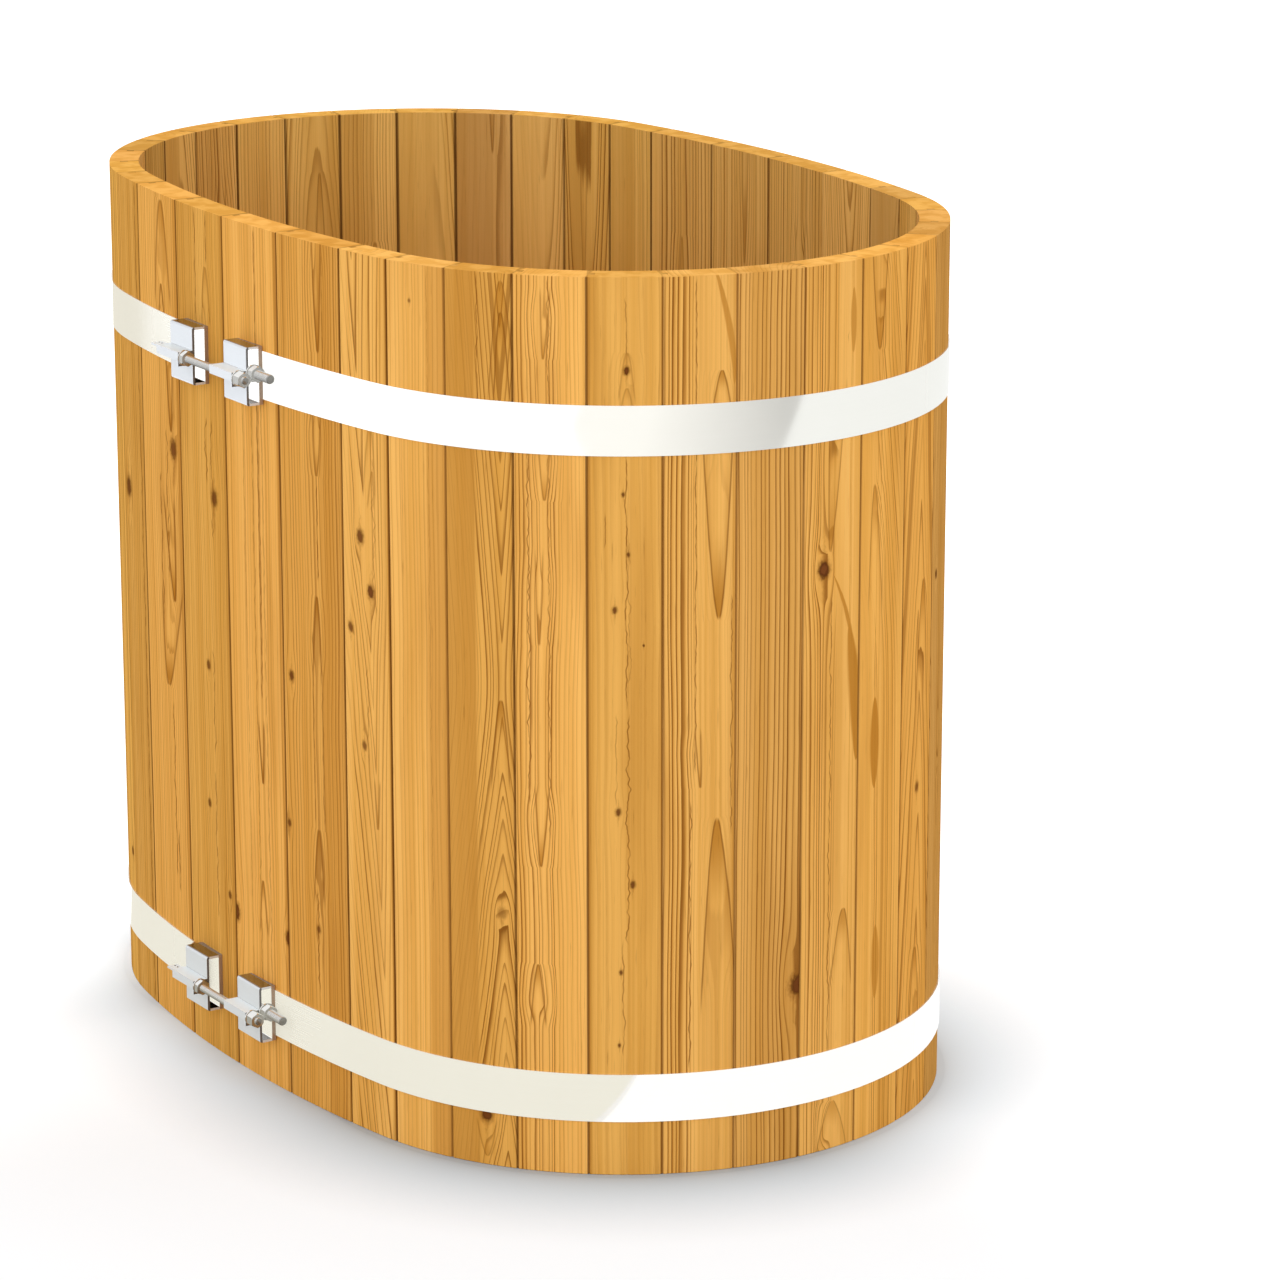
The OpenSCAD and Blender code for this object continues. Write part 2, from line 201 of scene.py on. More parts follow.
# Wood: growth rings round a pith that lies beside the board or under it, bent round the knots. The staves
# that the photo shows also have tongues, lenses and veins of late wood, listed one by one.

PALE = srgb(254, 192, 102)
MID = srgb(236, 172, 82)
DEEP = srgb(208, 144, 62)
LATE = srgb(138, 82, 26)
RESIN = srgb(192, 122, 36)
TONGUE = srgb(192, 126, 42)
KNOT_HEART = srgb(132, 76, 36)
KNOT = srgb(76, 36, 14)
KNOT_RIM = srgb(150, 92, 32)
SEAM = srgb(92, 52, 16)
# The wood inside the tub is less orange
INSIDE_TINT = (0.885, 1.0, 1.21, 1.0)
# Lengths along the grain over which a knot bends it and shows, for one across
KNOT_FLOW = 3.0
KNOT_SHAPE = 1.35
# How far a knot bends the grain, and how near to it that stops growing, both for its size squared
KNOT_BEND = 1.6
KNOT_CORE = 1.9
# Half widths of the lines that are drawn: where they are darkest, and where a tongue's and a vein's end
LINE_CORE = 0.0002
TONGUE_LINE = 0.0017
VEIN_LINE = 0.0012
# Length over which a vein starts and ends
VEIN_TAPER = 0.012
HALF_WALL = 0.019
# Height from which a stave's wood is the end grain of the rim
TOP = 1.0994


def tongue(g, across, height, ripple, bold, place, tip, end, half, lean, strength):
    """Late wood cut at a slant, from the height of its tip to that of its end, where it is twice half wide
    and lies lean further across: its filled tip, its two edges, and how far it pushes the rings apart."""
    run = g.span(height, tip, end)
    width = g.math("POWER", run, 0.6) * half
    side = across - place - run * lean + ripple
    off = g.math("ABSOLUTE", side)
    share = off / (width + 0.0004)
    begun = g.step(run, 0.0, 0.03)
    inside = (1 - g.step(share, 0.8, 1.1)) * begun
    solid = 1 - g.step(run, 0.05, 0.5)
    flanks = g.step(share, 0.3, 0.95) * (1 - run * 0.8) * 0.9
    edge = 1 - g.step(g.math("ABSOLUTE", off - width), LINE_CORE, TONGUE_LINE * bold)
    edge = edge * begun * (1 - g.step(run, 0.8, 1.0)) * (strength * 0.8)
    push = g.math("SIGN", side) * g.math("MINIMUM", off, width) * (1 - g.step(off, 0.010, 0.034))
    return inside * g.math("MAXIMUM", solid, flanks) * strength, edge, push * (1 - g.step(run, 0.5, 1.0))


def lens(g, across, height, ripple, place, low, high, half, lean, strength):
    """A long drop of late wood, pointed at both ends."""
    run = g.span(height, low, high)
    width = g.math("POWER", run * (1 - run) * 4, 0.7) * half
    off = g.math("ABSOLUTE", across - place - run * run * lean + ripple)
    return (1 - g.step(off / (width + 0.0004), 0.6, 1.15)) * strength


def vein(g, across, height, seed, bold, place, low, high, drift, strength):
    """A thin dark line, fainter here and there, that wavers up the board."""
    slow = g.wander(height, 22.0, seed + place * 700) * 1.6
    quick = g.wander(height, 85.0, seed + place * 500) * 0.7
    off = g.math("ABSOLUTE", across - place - (slow + quick) * drift)
    line = 1 - g.step(off, LINE_CORE, VEIN_LINE * bold)
    broken = g.step(g.wander(height, 45.0, seed + place * 300), -0.16, 0.08) * 0.45 + 0.55
    begun = g.step(height, low, low + VEIN_TAPER)
    ended = g.step(height, high - VEIN_TAPER, high)
    return line * broken * begun * (1 - ended) * strength


def strongest(g, values):
    """The greatest of some shares, or None where there are none."""
    result = None
    for value in values:
        result = value if result is None else g.math("MAXIMUM", result, value)
    return result


def knot_marks(g, across, height, look):
    """The place across as the knots bend it, and how much of their cores, hearts and rims shows."""
    bent = across
    cores = []
    hearts = []
    rims = []
    for knot_across, knot_height, size, dark in look["knots"]:
        off = across - knot_across
        rise = height - knot_height
        flow = rise / KNOT_FLOW
        squared = off * off + flow * flow
        bent = bent - off * (size * size * KNOT_BEND) / g.math("MAXIMUM", squared, size * size * KNOT_CORE)
        tall = rise / KNOT_SHAPE
        grain = g.noise(g.vector(off * 300, rise * 200, look["seed"])) - 0.5
        near = g.math("SQRT", off * off + tall * tall) + grain * size * 0.7
        cores.append((1 - g.step(near, size * 0.5, size)) * dark)
        hearts.append((1 - g.step(near, size * 0.3, size * 0.75)) * dark)
        thin = g.math("ABSOLUTE", off + grain * size) + g.math("ABSOLUTE", rise) * 0.12
        rims.append(g.math("MAXIMUM", (1 - g.step(near, size * 0.7, size * 1.5)) * (0.35 + 0.35 * dark),
                           (1 - g.step(thin, 0.0, size * 0.8)) * 0.5))
    return bent, strongest(g, cores), strongest(g, hearts), strongest(g, rims)


def drawn_marks(g, across, height, sway, look):
    """What tongues and lenses fill, the lines of tongues and veins, and how each tongue pushes the rings."""
    tongues = [tongue(g, across, height, sway, look["bold"], *shape) for shape in look["tongues"]]
    fills = [fill for fill, edge, push in tongues]
    fills += [lens(g, across, height, sway, *shape) for shape in look["lenses"]]
    edges = [edge for fill, edge, push in tongues]
    edges += [vein(g, across, height, look["seed"], look["bold"], *shape) for shape in look["veins"]]
    pushes = [push for fill, edge, push in tongues] if look["spread"] else []
    return strongest(g, fills), strongest(g, edges), pushes


def ring_marks(g, across, bent, outward, height, ripple, fine_ripple, look):
    """How much of the rings' soft late wood shows, and of the dark line that ends it."""
    seed = look["seed"]
    far = height - look["apex"]
    bend = g.math("SQRT", far * far + 0.0025)
    along = (bend + far) * (look["above"] / 2) + (bend - far) * (look["below"] / 2)
    side = bent - look["pith"] - far * look["lean"] - g.wander(height, 3.1, seed) * look["wander"]
    deep = (HALF_WALL - outward) * 0.6 + look["tip"]
    radius = g.math("SQRT", side * side + deep * deep) + along
    uneven = g.noise(g.vector(radius * 90, seed, height * 0.4), 1.0) - 0.5
    rings = (radius + ripple * look["ripple"] + fine_ripple * 0.0007) / look["ring"] + uneven * 2.4
    phase = g.math("FRACT", rings)
    number = g.math("FLOOR", rings)
    strong = 0.4 + g.dice(number + seed) * 0.6
    low, high, rest = look["field"]
    shown = g.between(across, low, high, 0.004)
    close = (1 - g.step(phase, 0.94, 1.0)) * strong * (shown * (1 - rest) + rest)
    return g.step(phase, look["early"], 0.93) * close, g.step(phase, 0.60, 0.88) * close


def wood(across, outward, height, g, look, to_edge=None, facing=None):
    """Wood where across and outward are the board's own width and depth in metres, and height runs along
    the grain. A stave also has to_edge, the distance from its nearest long edge, and facing, from -1 on its
    inner face to 1 on its outer one."""
    seed = look["seed"]
    ripple = g.noise(g.vector(across * 45, outward * 45, height * 4 + seed)) - 0.5
    fine_ripple = g.noise(g.vector(across * 260, outward * 260, height * 14 + seed)) - 0.5
    sway = ripple * 0.004 + fine_ripple * 0.0012
    bent, cores, hearts, rims = knot_marks(g, across, height, look)
    fills, edges, pushes = drawn_marks(g, across, height, sway, look)
    for push in pushes:
        bent = bent - push
    late, line = ring_marks(g, across, bent, outward, height, ripple, fine_ripple, look)

    bands = g.noise(g.vector(across * 38, outward * 38, height * 0.5 + seed), 2.0, 0.55)
    streak = g.noise(g.vector(across * 240, outward * 240, height * 1.1 + seed), 2.0, 0.5)
    fibre = g.noise(g.vector(across * 1100, outward * 1100, height * 8 + seed), 3.0, 0.6)
    pore = g.noise(g.vector(across * 700, outward * 700, height * 22 + seed), 1.0, 0.5)
    patch = g.noise(g.vector(across * 22, outward * 22, height * 2.5 + seed * 3), 2.0, 0.5)
    base = g.mix(g.step(bands * 0.6 + streak * 0.4, 0.36, 0.62), MID, PALE)
    base = g.mix(g.step(streak, 0.56, 0.8) * 0.5, base, DEEP)
    base = g.mix(g.step(patch, 0.5, 0.75) * 0.4, base, DEEP)
    # Shades are strips of the wood's own tone, except those along some staves' edges, which are painted
    # shade on the bevel
    for left, right, amount in look["shades"]:
        strip = g.between(across, left, right, 0.0012)
        base = g.mix(strip * abs(amount), base, DEEP if amount > 0 else PALE)
    base = g.mix(late * look["glow"], base, RESIN)
    base = g.mix(line * look["lines"], base, LATE)
    if fills is not None:
        base = g.mix(fills * (0.75 + streak * 0.3), base, TONGUE)
    if edges is not None:
        base = g.mix(edges * 0.9, base, LATE)
    base = g.mix(g.step(fibre, 0.55, 0.8) * 0.3, base, DEEP)
    base = g.mix(g.step(pore, 0.66, 0.8) * 0.3, base, LATE)
    if cores is not None:
        base = g.mix(rims, base, KNOT_RIM)
        base = g.mix(cores, base, KNOT)
        base = g.mix(hearts * 0.8, base, KNOT_HEART)
    if to_edge is not None:
        top = g.step(height, TOP - 0.0002, TOP)
        base = g.mix(top * 0.75, base, g.mix(g.step(bands, 0.38, 0.62), MID, PALE))
        within = 1 - g.step(facing, -0.8, -0.5)
        worn = to_edge + (ripple - 0.1) * look["seam_width"] * 0.5 + within * look["seam_width"] * 0.5
        seam = (1 - g.step(worn, look["seam_width"] * 0.2, look["seam_width"])) * look["seam"]
        base = g.mix(seam * (1 - top * 0.5), base, SEAM)
        base = g.tinted(base, g.mix(within, WHITE, INSIDE_TINT))
    color = g.tinted(base, (*look["tint"], 1.0))
    roughness = late * 0.10 + (fibre - 0.5) * 0.12 + 0.46
    normal = g.bump(fibre * 0.5 + line * 0.8, 0.00025, 0.35)
    return g.finish(color, roughness, normal, Specular_IOR_Level=0.0)


def look(pith=0.0, tip=0.008, apex=0.5, above=0.0, below=0.0, lean=0.0, ring=0.005, wander=0.01,
         ripple=0.002, early=0.3, glow=0.4, lines=0.8, field=(-0.1, 0.1, 1.0), tint=(1.0, 1.0, 1.0),
         shades=(), tongues=(), lenses=(), veins=(), knots=(), seam=0.7, seam_width=0.0022, bold=1.0,
         spread=True, seed=0.0):
    """What wood draws a board from, with lengths in metres.

    Rings: pith is where their middle lies across the board and tip how deep it lies. Above and below are how
    fast they shift along the board on each side of the apex, lean how far the pith drifts for each metre up,
    and wander how far it strays besides. Ring is their spacing and ripple their unevenness. Late wood starts
    at the share early of a ring, and glow and lines are the strengths of its soft part and its dark line.
    Field is the part of the width with the rings at full strength, and their strength in the rest of it.

    Marks: a tongue, lens or vein holds what its function takes from place on. A knot is its place across,
    its height, size and darkness. A shade is the left and right of a strip and how dark it is, or how pale
    where negative. Bold is how wide the drawn lines are, and spread says whether the tongues push the rings
    apart. Seam and seam_width are the darkness and width of the line along a stave's edges."""
    return dict(locals())


def random_look(number):
    """Grain for a stave that the photo doesn't show."""
    dice = random.Random(number)
    flat = dice.random() < 0.45
    tone = dice.uniform(0.82, 1.04)
    turn = dice.choice((-1, 1))
    middle = dice.uniform(-0.02, 0.02)
    peak = dice.uniform(0.5, 1.05)
    return look(
        pith=middle if flat else turn * dice.uniform(0.06, 0.14),
        tip=dice.uniform(0.004, 0.014) if flat else dice.uniform(0.01, 0.05),
        apex=dice.uniform(0.1, 1.0), above=turn * dice.uniform(0.02, 0.08) if flat else 0.0,
        below=turn * dice.uniform(0.02, 0.12) if flat else 0.0, ring=dice.uniform(0.0042, 0.0075),
        wander=dice.uniform(0.004, 0.012), ripple=dice.uniform(0.001, 0.003), early=dice.uniform(0.1, 0.5),
        glow=dice.uniform(0.2, 0.6), lines=dice.uniform(0.35, 0.9),
        field=(-0.1, middle, 0.15) if dice.random() < 0.3 else (-0.1, 0.1, 1.0),
        tint=(tone, tone * dice.uniform(0.97, 1.03), tone * dice.uniform(0.9, 1.06)),
        shades=[(middle, 0.1, dice.uniform(-0.4, 0.5))],
        tongues=[(middle, peak, peak - turn * dice.uniform(0.15, 0.3), dice.uniform(0.006, 0.014), 0.0,
                  dice.uniform(0.3, 0.7))],
        knots=[(dice.uniform(-0.03, 0.03), dice.uniform(0.1, 1.05), dice.uniform(0.003, 0.006),
                dice.uniform(0.5, 0.9)) for _ in range(dice.choice((0, 0, 1, 1, 2)))],
        seam=dice.uniform(0.5, 0.9), seam_width=dice.uniform(0.0014, 0.0026), seed=dice.uniform(0, 90))


# The staves that the photo shows, each with its own grain
# The darker strips along the right edges of staves 26, 27, 28 and 30 and along both edges of stave 34 are
# painted shade on their bevelled edges
STAVE_LOOKS = {
    25: look(pith=0.1, ring=0.005, tint=(0.95, 0.94, 0.88), seed=2.3, lines=0.6, glow=0.5, bold=2.2,
             seam=0.85, seam_width=0.0028, veins=[(0.035, 0.0, 1.1, 0.004, 0.8)],
             knots=[(-0.021, 0.690, 0.0115, 0.7)]),
    26: look(pith=0.2, ring=0.006, seed=5.1, lines=0.35, glow=0.4, tint=(1.05, 1.02, 0.98), bold=2.4,
             # Painted shade: the second strip, from 0.055 to the right edge, is the shaded bevel
             seam=0.85, seam_width=0.0028, shades=[(-0.07, 0.012, -0.35), (0.055, 0.1, 0.8)],
             tongues=[(0.034, 0.572, 0.72, 0.018, -0.014, 1.1), (0.006, 0.455, 0.60, 0.036, 0.020, 0.9),
                      (0.034, 0.795, 0.93, 0.013, 0.0, 1.0), (0.016, 1.094, 0.95, 0.027, 0.0, 0.8),
                      (0.012, 0.985, 0.94, 0.009, 0.0, 0.9)],
             veins=[(0.028, 0.18, 0.27, 0.003, 1.0), (0.020, 0.2, 0.44, 0.005, 0.9),
                    (-0.006, 0.5, 0.74, 0.004, 0.9), (0.018, 0.60, 0.80, 0.006, 0.8)],
             knots=[(0.041, 0.776, 0.0115, 0.65)]),
    # Painted shade: stave 27's strip from 0.058 to the right edge is the shaded bevel
    27: look(pith=0.12, ring=0.005, lines=0.4, glow=0.3, shades=[(0.058, 0.1, 0.7)], seed=8.8, ripple=0.003,
             tint=(0.95, 0.93, 0.83), bold=2.0, seam=0.85, seam_width=0.0026,
             tongues=[(0.018, 1.03, 0.95, 0.012, 0.0, 0.5)],
             veins=[(0.010, 0.75, 0.84, 0.006, 0.9), (0.018, 0.40, 0.54, 0.007, 0.7),
                    (0.016, 0.18, 0.38, 0.004, 0.8), (-0.011, 0.94, 1.1, 0.003, 0.8),
                    (0.021, 1.03, 1.1, 0.004, 0.9), (0.025, 0.68, 0.84, 0.008, 0.7)],
             knots=[(0.030, 0.737, 0.0095, 0.6), (0.003, 0.515, 0.0056, 0.6), (-0.003, 0.331, 0.0048, 0.6),
                    (0.050, 0.222, 0.0045, 0.6)]),
    # Painted shade: stave 28's strip from 0.058 to the right edge is the shaded bevel
    28: look(pith=-0.15, ring=0.0075, lines=0.3, glow=0.25, shades=[(0.058, 0.1, 0.7)], seed=12.9,
             wander=0.006, tint=(1.07, 1.04, 1.02), bold=1.8, seam=0.85, seam_width=0.0024,
             tongues=[(0.011, 0.392, 0.48, 0.007, -0.002, 1.1), (0.006, 0.266, 0.19, 0.010, 0.0, 0.9)],
             veins=[(0.013, 0.50, 1.1, 0.002, 0.9), (0.015, 0.52, 0.88, 0.003, 0.7),
                    (0.0, 0.12, 0.9, 0.003, 0.6), (0.024, 0.12, 0.9, 0.003, 0.5),
                    (-0.022, 0.12, 0.9, 0.002, 0.4)],
             knots=[(-0.066, 0.205, 0.010, 0.9), (0.066, 0.205, 0.008, 0.9)]),
    29: look(pith=0.2, ring=0.0065, lines=0.55, glow=0.4, tint=(0.94, 0.88, 0.77), seed=15.2, ripple=0.003,
             bold=1.6, seam=0.85, seam_width=0.0024, shades=[(0.02, 0.07, 0.3)],
             tongues=[(0.010, 0.664, 0.55, 0.010, -0.002, 0.85), (0.013, 0.812, 0.90, 0.009, 0.003, 0.7),
                      (0.006, 0.366, 0.26, 0.012, -0.002, 0.7), (0.020, 0.965, 1.12, 0.010, 0.0, 0.8)],
             veins=[(0.013, 0.68, 0.82, 0.002, 1.0), (0.001, 0.15, 0.29, 0.007, 0.9),
                    (-0.001, 0.37, 0.62, 0.002, 0.6), (0.018, 0.37, 0.60, 0.003, 0.6),
                    (0.030, 0.94, 1.1, 0.001, 0.6)],
             knots=[(-0.049, 0.55, 0.006, 0.7), (-0.060, 0.358, 0.0045, 0.6), (0.002, 0.235, 0.0045, 0.5)]),
    30: look(pith=0.004, tip=0.004, apex=0.56, above=-0.076, below=0.076, lean=-0.05, ring=0.0076,
             wander=0.005, ripple=0.004, lines=0.8, glow=0.25, field=(-0.032, 0.034, 0.25),
             # Painted shade: the strip from 0.0365 to the right edge is the shaded bevel
             shades=[(0.0365, 0.1, 1.0)], seed=19.4, tint=(1.07, 1.08, 1.1), bold=1.5, seam=0.9,
             seam_width=0.0024, spread=False,
             tongues=[(0.013, 0.393, 0.46, 0.005, 0.0, 0.7), (0.008, 0.90, 0.80, 0.012, -0.004, 0.5),
                      (0.010, 0.84, 0.79, 0.006, -0.004, 0.5)],
             veins=[(-0.003, 0.47, 0.60, 0.006, 0.6), (0.012, 0.66, 0.86, 0.009, 0.5)],
             knots=[(-0.014, 0.755, 0.0075, 0.7), (0.005, 0.690, 0.007, 0.85),
                    (-0.035, 0.639, 0.0055, 0.6), (-0.011, 0.495, 0.005, 0.5)]),
    31: look(pith=0.17, ring=0.0065, lines=0.3, glow=0.3, seam=0.5, seed=23.7, tint=(1.07, 1.08, 1.12),
             wander=0.005, shades=[(0.016, 0.1, 0.6), (0.036, 0.1, 0.3)],
             veins=[(0.019, 0.3, 1.1, 0.002, 0.4)], knots=[(-0.007, 1.055, 0.0022, 0.4)]),
    32: look(pith=0.028, tip=0.005, apex=0.592, above=-0.082, below=-0.15, ring=0.0054, wander=0.004,
             ripple=0.0015, lines=0.9, glow=0.4, field=(-0.004, 0.1, 0.22), seed=27.3,
             tint=(0.91, 0.88, 0.78), spread=False,
             shades=[(-0.1, -0.006, 0.55), (-0.030, -0.1, 0.3)],
             tongues=[(0.027, 0.588, 0.47, 0.013, -0.002, 0.85), (0.030, 1.092, 0.94, 0.018, 0.0, 0.7),
                      (0.030, 1.055, 0.94, 0.011, 0.0, 0.9), (0.004, 0.010, 0.06, 0.014, 0.0, 0.5)],
             veins=[(-0.001, 0.94, 1.1, 0.003, 0.8)],
             knots=[(0.026, 0.322, 0.006, 0.15), (0.004, 0.064, 0.008, 0.9)]),
    33: look(pith=0.2, ring=0.0052, wander=0.010, ripple=0.005, lines=0.95, glow=0.5,
             field=(-0.042, 0.006, 0.3), seed=31.9, tint=(1.06, 1.06, 1.08), seam=0.75,
             tongues=[(-0.013, 0.384, 0.49, 0.009, 0.002, 0.95), (-0.017, 0.264, 0.18, 0.010, 0.0, 0.9),
                      (-0.014, 0.657, 0.78, 0.005, 0.0, 0.6), (-0.007, 0.832, 0.92, 0.008, 0.0, 0.7),
                      (-0.008, 1.0, 1.09, 0.006, 0.003, 0.7)],
             veins=[(-0.027, 0.46, 0.9, 0.005, 0.9), (-0.002, 0.42, 1.1, 0.004, 0.7)]),
    34: look(pith=0.2, ring=0.009, wander=0.008, ripple=0.004, lines=0.14, glow=0.15, seed=36.5,
             # Painted shade: the strips past 0.041 on both sides are the shaded bevels
             tint=(0.92, 0.91, 0.84), shades=[(-0.1, -0.041, 0.8), (0.041, 0.1, 0.8)], seam=0.55,
             tongues=[(0.001, 0.97, 0.93, 0.009, 0.0, 0.4), (0.001, 1.012, 0.95, 0.010, 0.0, 0.4)],
             veins=[(0.001, 0.58, 0.89, 0.004, 0.9), (0.003, 0.29, 0.58, 0.007, 0.9),
                    (-0.003, 0.15, 0.30, 0.004, 0.7), (-0.024, 0.775, 0.825, 0.002, 0.7),
                    (-0.011, 0.46, 0.58, 0.003, 0.5), (0.001, 1.0, 1.08, 0.004, 0.6),
                    (0.004, 0.60, 0.80, 0.006, 0.4)],
             knots=[(-0.003, 0.843, 0.0026, 0.7), (0.003, 0.771, 0.0026, 0.7), (-0.013, 0.704, 0.0036, 0.7),
                    (0.021, 0.661, 0.0016, 0.9), (-0.009, 0.457, 0.0040, 0.7), (0.008, 0.367, 0.0040, 0.7),
                    (-0.006, 0.257, 0.0028, 0.7), (-0.008, 0.165, 0.0024, 0.7),
                    (0.001, 0.990, 0.0042, 0.95)]),
    35: look(pith=0.2, ring=0.0056, wander=0.006, ripple=0.0015, early=0.2, lines=1.0, glow=0.8,
             field=(-0.1, -0.010, 0.15), seed=41.1, tint=(1.0, 1.01, 1.04), seam=0.4,
             shades=[(0.038, 0.1, 0.35)],
             tongues=[(0.022, 0.687, 0.93, 0.019, -0.002, 1.0), (0.021, 0.447, 0.19, 0.023, 0.003, 1.0),
                      (0.000, 0.483, 0.56, 0.004, -0.004, 0.8), (0.025, 0.988, 0.93, 0.013, 0.0, 0.9)],
             lenses=[(0.040, 0.97, 1.11, 0.004, -0.026, 0.8)],
             veins=[(-0.006, 0.5, 1.1, 0.002, 0.9), (-0.012, 0.13, 0.47, 0.003, 0.9),
                    (0.038, 0.42, 0.72, 0.003, 0.8)]),
    36: look(pith=0.07, tip=0.04, ring=0.0054, wander=0.006, ripple=0.001, lines=1.0, glow=0.5, early=0.3,
             seed=45.6, tint=(0.89, 0.87, 0.88), seam=0.5, knots=[(0.040, 0.221, 0.012, 0.85)]),
    1: look(pith=-0.13, ring=0.0054, wander=0.004, lines=1.0, glow=0.8, early=0.2,
            field=(-0.1, 0.004, 0.0), seed=49.3, tint=(1.07, 1.08, 1.12), seam=0.5,
            tongues=[(-0.006, 0.752, 0.97, 0.013, 0.012, 0.7), (0.021, 0.306, 0.20, 0.018, -0.004, 0.8),
                     (0.006, 0.062, -0.02, 0.028, 0.0, 0.6)],
            lenses=[(0.040, 0.488, 0.660, 0.0110, -0.014, 1.0), (0.034, 0.600, 0.724, 0.0030, -0.034, 0.9),
                    (0.028, 0.99, 1.068, 0.005, 0.0, 0.8)],
            veins=[(-0.003, 0.12, 0.70, 0.004, 0.9), (0.020, 1.0, 1.02, 0.004, 0.4)],
            knots=[(-0.015, 0.733, 0.0095, 1.0)]),
    2: look(pith=-0.1, apex=0.6, above=0.14, ring=0.007, wander=0.006, lines=0.6, field=(-0.016, 0.032, 0.1),
            glow=0.6, early=0.3, seed=53.8, tint=(1.07, 1.04, 0.96),
            tongues=[(-0.020, 0.825, 0.66, 0.014, 0.004, 0.7), (-0.014, 0.985, 1.13, 0.016, 0.0, 0.9)],
            lenses=[(-0.014, 0.445, 0.56, 0.009, 0.0, 0.95), (-0.008, 0.175, 0.27, 0.008, 0.0, 0.8)]),
    3: look(pith=0.004, tip=0.006, apex=0.45, above=0.09, below=-0.09, ring=0.012, lines=0.7, glow=0.5,
            seed=58.2, tint=(1.02, 0.95, 0.82), seam_width=0.0018, bold=1.3,
            tongues=[(0.012, 0.684, 0.52, 0.018, -0.002, 0.8), (0.001, 0.215, 0.10, 0.016, 0.0, 0.7)],
            knots=[(0.0, 0.421, 0.0058, 0.5)]),
}
STAVE_COUNT = 36


def stave_frame(number):
    """Middle of a stave, the angle of the wall's normal there, and how far across it the points of its outer
    and of its inner face lie."""
    points = [v.co for v in nodes[f"stave_{number:02d}"].data.vertices]
    count = len(points)
    mean_x = sum(p.x for p in points) / count
    mean_y = sum(p.y for p in points) / count
    spread_xx = sum((p.x - mean_x) ** 2 for p in points)
    spread_yy = sum((p.y - mean_y) ** 2 for p in points)
    spread_xy = sum((p.x - mean_x) * (p.y - mean_y) for p in points)
    along = 0.5 * math.atan2(2 * spread_xy, spread_xx - spread_yy)
    normal = along + math.pi / 2
    if math.cos(normal) * mean_x + math.sin(normal) * mean_y < 0:
        normal += math.pi
    outward = [(p.x - mean_x) * math.cos(normal) + (p.y - mean_y) * math.sin(normal) for p in points]
    across = [(p.y - mean_y) * math.cos(normal) - (p.x - mean_x) * math.sin(normal) for p in points]
    outside = [side for side, depth in zip(across, outward) if depth > HALF_WALL * 0.7]
    inside = [side for side, depth in zip(across, outward) if depth < -HALF_WALL * 0.7]
    return Vector((mean_x, mean_y, 0)), normal, outside, inside


def cover(node, material):
    """Gives a CAD node this material alone."""
    data = nodes[node].data
    data.materials.clear()
    data.materials.append(material)


for number in range(1, STAVE_COUNT + 1):
    middle, normal, outside, inside = stave_frame(number)
    g = Graph(f"stave_wood_{number:02d}")
    outward, across, height = g.split(g.turn(g.shift(g.place(), tuple(middle)), -normal))
    near_face = g.step(outward, -HALF_WALL, HALF_WALL)
    left = near_face * (min(outside) - min(inside)) + min(inside)
    right = near_face * (max(outside) - max(inside)) + max(inside)
    to_edge = g.math("MINIMUM", across - left, right - across)
    chosen = STAVE_LOOKS.get(number) or random_look(number)
    facing = g.split(g.turn(g.normal(), -normal))[0]
    cover(f"stave_{number:02d}", wood(across, outward, height, g, chosen, to_edge, facing))


def board_wood(name, along, rest, pitch, start, seed, tone):
    """Wood for a node of several boards whose grain runs along one axis. They lie side by side along
    another, rest, at this pitch from start on."""
    g = Graph(name)
    x, y, z = g.split(g.place())
    axes = {"x": x, "y": y, "z": z}
    wide = axes[rest]
    index = g.math("FLOOR", (wide - start) / pitch)
    chance = g.dice(index + seed)
    across = wide - start - (index + 0.5) * pitch + (chance - 0.5) * 0.12
    height = axes[along] + chance * 7
    chosen = look(tip=0.01, above=0.04, below=0.06, ring=0.006, wander=0.014, lines=0.6, glow=0.4, seed=seed,
                  tint=(tone, tone, tone * 1.05))
    return wood(across, z - 0.1, height, g, chosen)


FLOOR_BOARDS = 6
BEARERS = 3
SEAT_PITCH = 0.108
# Distance across the tub after which the ledges' grain changes
LEDGE_PITCH = 0.3

low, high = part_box("floor_boards")
pitch = (high.y - low.y) / FLOOR_BOARDS
cover("floor_boards", board_wood("floor_wood", "x", "y", pitch, low.y, 3.0, 0.86))
for number in range(1, BEARERS + 1):
    low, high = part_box(f"floor_bearer_{number}")
    made = board_wood(f"bearer_wood_{number}", "y", "x", high.x - low.x, low.x, 11.0 * number, 0.82)
    cover(f"floor_bearer_{number}", made)
low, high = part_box("seat_boards")
cover("seat_boards", board_wood("seat_wood", "y", "x", SEAT_PITCH, low.x, 21.0, 0.96))
cover("seat_ledges", board_wood("ledge_wood", "x", "y", LEDGE_PITCH, -2 * LEDGE_PITCH, 27.0, 0.86))


# Metal and rubber

# Distance of the wood's outer face from the tub's middle, behind the lugs
LUG_WALL = 0.4215
# Measured out from that face: where the inside of a lug, painted bright as a reflection, begins and ends,
# and the front of its tube
TUBE_BACK = 0.0045
TUBE_FRONT = 0.019
LUG_DEPTH = 0.022
# Distance over which the finish changes at each of these
SHEET_EDGE = 0.0005


def drain_sheet(name):
    """Smooth steel, a little uneven."""
    g = Graph(name)
    x, y, z = g.split(g.place())
    lines = g.noise(g.vector(x * 200, y * 200, z * 200), 4.0, 0.6)
    cloud = g.noise(g.vector(x * 9, y * 9, z * 9), 2.0, 0.5)
    color = g.mix(lines * 0.5 + cloud * 0.5, srgb(216, 216, 214), srgb(226, 226, 225))
    roughness = 0.24 + (lines - 0.5) * 0.08 + (cloud - 0.5) * 0.06
    return g.finish(color, roughness, g.bump(lines, 0.00003, 0.15), Metallic=0.65)


